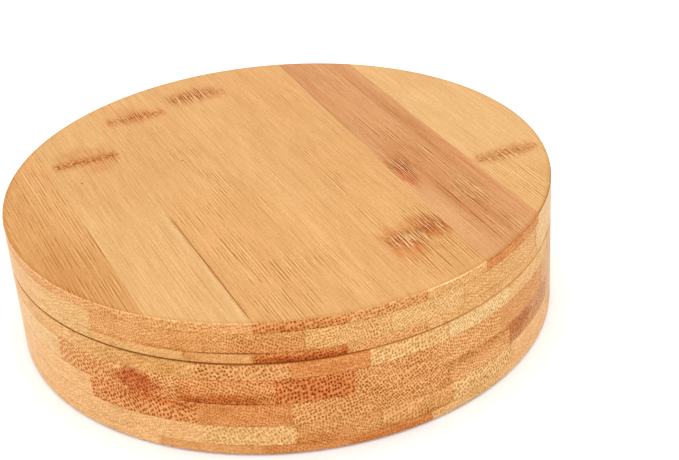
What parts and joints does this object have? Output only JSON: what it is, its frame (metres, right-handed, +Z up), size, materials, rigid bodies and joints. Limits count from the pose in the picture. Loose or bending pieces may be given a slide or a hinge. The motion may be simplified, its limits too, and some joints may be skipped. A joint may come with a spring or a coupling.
{
  "type": "lazy susan turntable",
  "caption": "Small round bamboo turntable: a laminated platter that spins on a laminated base of the same diameter, on a ball-bearing swivel plate recessed in the base.",
  "frame": {"origin": "centre of the underside, in the plane of the feet", "axes": "+Z up along the axis of rotation; the top boards' grain runs 20.5 degrees anticlockwise from +Y"},
  "size_m": [0.1588, 0.1588, 0.0413],
  "materials": {
    "bamboo_top": "clear satin oil over caramel bamboo",
    "bamboo_platter": "clear satin oil over caramel bamboo",
    "bamboo_base": "clear satin oil over caramel bamboo",
    "rubber": "moulded matt",
    "zinc_steel": "bright zinc plate on pressed steel",
    "cage_steel": "plain stamped steel",
    "ball_steel": "polished",
    "screw_steel": "yellow zinc plate"
  },
  "bodies": {
    "base": {"base_ply_1": "bamboo_base", "base_ply_2": "bamboo_base", "base_ply_3": "bamboo_base", "base_ply_4": "bamboo_base", "base_ply_5": "bamboo_base", "rubber_foot_1": "rubber", "rubber_foot_2": "rubber", "rubber_foot_3": "rubber", "rubber_foot_4": "rubber", "swivel_lower_plate": "zinc_steel", "base_screws": "screw_steel"},
    "ball_cage": {"swivel_ball_cage": "cage_steel", "swivel_balls": "ball_steel"},
    "platter": {"platter_top_strip_1": "bamboo_top", "platter_top_strip_2": "bamboo_top", "platter_top_strip_3": "bamboo_top", "platter_top_strip_4": "bamboo_top", "platter_top_strip_5": "bamboo_top", "platter_top_strip_6": "bamboo_top", "platter_top_strip_7": "bamboo_top", "platter_top_strip_8": "bamboo_top", "platter_core_ply": "bamboo_platter", "platter_bottom_ply": "bamboo_platter", "swivel_upper_plate": "zinc_steel", "platter_screws": "screw_steel"}
  },
  "joints": [
    {"name": "platter_spin", "type": "hinge", "parent": "base", "child": "platter", "pos_m": [0, 0, 0.02516], "axis": [0, 0, 1], "continuous": true},
    {"name": "cage_spin", "type": "hinge", "parent": "base", "child": "ball_cage", "pos_m": [0, 0, 0.02516], "axis": [0, 0, 1], "continuous": true}
  ],
  "couplings": [
    {"joint": "cage_spin", "follows": "platter_spin", "ratio": 0.5}
  ]
}
